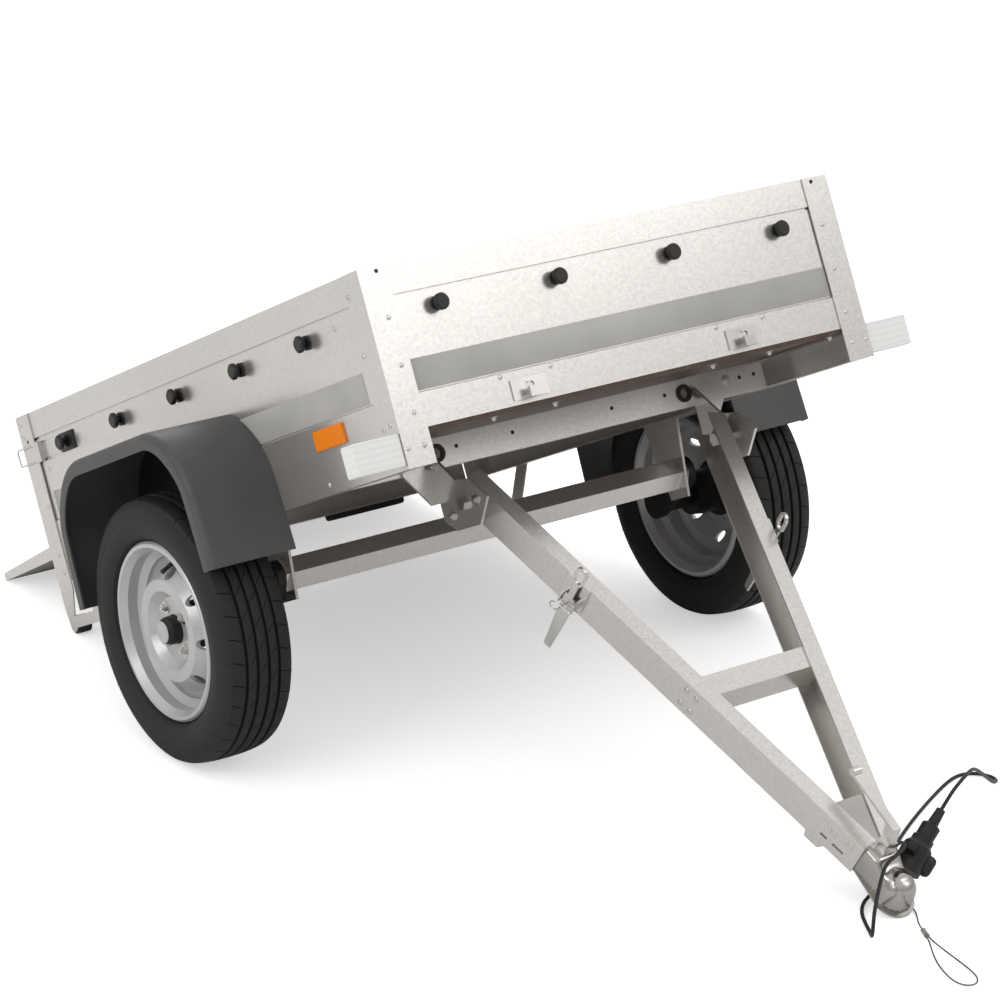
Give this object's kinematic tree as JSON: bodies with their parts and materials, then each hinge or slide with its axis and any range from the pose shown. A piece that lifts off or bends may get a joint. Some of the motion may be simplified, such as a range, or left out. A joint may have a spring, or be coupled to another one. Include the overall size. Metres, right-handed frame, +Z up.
{
  "type": "tipping utility trailer",
  "caption": "Small single-axle utility trailer with a tipped-back galvanised bed, open tailgate, folded V drawbar, ball coupling and dark fenders",
  "frame": {"origin": "ground, at the centre of the trailer's outline", "axes": "+X to the trailer's right, +Y to its rear, +Z up; the drawbar points to -Y"},
  "size_m": [1.47, 2.7059, 1.0899],
  "materials": {
    "galvanised": "galvanised sheet, spangled",
    "zinc_bright": "bright zinc plate",
    "rim_silver": "silver paint",
    "black_iron": "black paint",
    "tyre_black": "matt rubber",
    "rubber_black": "matt rubber",
    "black_plastic": "moulded black",
    "grey_plastic": "moulded dark grey",
    "white_plastic": "white moulding",
    "amber_lens": "amber reflector",
    "floor_board": "dark film-faced plywood",
    "steel_rope": "thin steel rope"
  },
  "bodies": {
    "bed": {"axle_bracket_left": "galvanised", "axle_bracket_right": "galvanised", "axle_tube": "galvanised", "drawbar_hook_left": "zinc_bright", "drawbar_hook_right": "zinc_bright", "fender_left": "grey_plastic", "fender_right": "grey_plastic", "floor": "floor_board", "front_cross_member": "galvanised", "front_lamp_left": "white_plastic", "front_lamp_right": "white_plastic", "front_panel": "galvanised", "front_post_left": "galvanised", "front_post_right": "galvanised", "gate_latch_left": "zinc_bright", "gate_latch_right": "zinc_bright", "grommets": "rubber_black", "pivot_bolt_left": "zinc_bright", "pivot_bolt_right": "zinc_bright", "pivot_bracket_left": "galvanised", "pivot_bracket_right": "galvanised", "rear_cross_member": "galvanised", "rear_lamp_left": "black_plastic", "rear_lamp_right": "black_plastic", "rear_post_left": "galvanised", "rear_post_right": "galvanised", "rear_roller_left": "rubber_black", "rear_roller_right": "rubber_black", "side_panel_left": "galvanised", "side_panel_right": "galvanised", "side_reflector_left": "amber_lens", "side_reflector_right": "amber_lens", "side_sill_left": "galvanised", "side_sill_right": "galvanised", "tarp_knobs": "black_plastic", "trailing_arm_left": "black_iron", "trailing_arm_right": "black_iron"},
    "drawbar": {"breakaway_ferrule": "zinc_bright", "breakaway_loop": "steel_rope", "breakaway_rope": "steel_rope", "coupling_handle": "zinc_bright", "coupling_head": "zinc_bright", "coupling_plug_holder": "black_plastic", "drawbar_beam_left": "galvanised", "drawbar_beam_right": "galvanised", "drawbar_cross_piece": "galvanised", "electric_cable": "black_plastic", "electric_gland": "rubber_black", "electric_plug": "black_plastic", "latch_base_left": "zinc_bright", "latch_base_right": "zinc_bright", "latch_lever_left": "zinc_bright", "latch_lever_right": "zinc_bright"},
    "wheel_left": {"hub_left": "black_iron", "rim_left": "rim_silver", "tyre_left": "tyre_black"},
    "wheel_right": {"hub_right": "black_iron", "rim_right": "rim_silver", "tyre_right": "tyre_black"},
    "tailgate": {"tailgate": "galvanised"}
  },
  "joints": [
    {"name": "drawbar_fold", "type": "hinge", "parent": "bed", "child": "drawbar", "pos_m": [0, -0.31224, 0.59515], "axis": [-1, 0, 0], "range_deg": [-8, 57.29]},
    {"name": "tailgate_hinge", "type": "hinge", "parent": "bed", "child": "tailgate", "pos_m": [0, 0.94498, 0.14656], "axis": [1, 0, 0], "range_deg": [-87.52, 92.48]},
    {"name": "wheel_left_spin", "type": "hinge", "parent": "bed", "child": "wheel_left", "pos_m": [-0.648, 0.16873, 0.27], "axis": [1, 0, 0], "continuous": true},
    {"name": "wheel_right_spin", "type": "hinge", "parent": "bed", "child": "wheel_right", "pos_m": [0.648, 0.16873, 0.27], "axis": [1, 0, 0], "continuous": true}
  ]
}
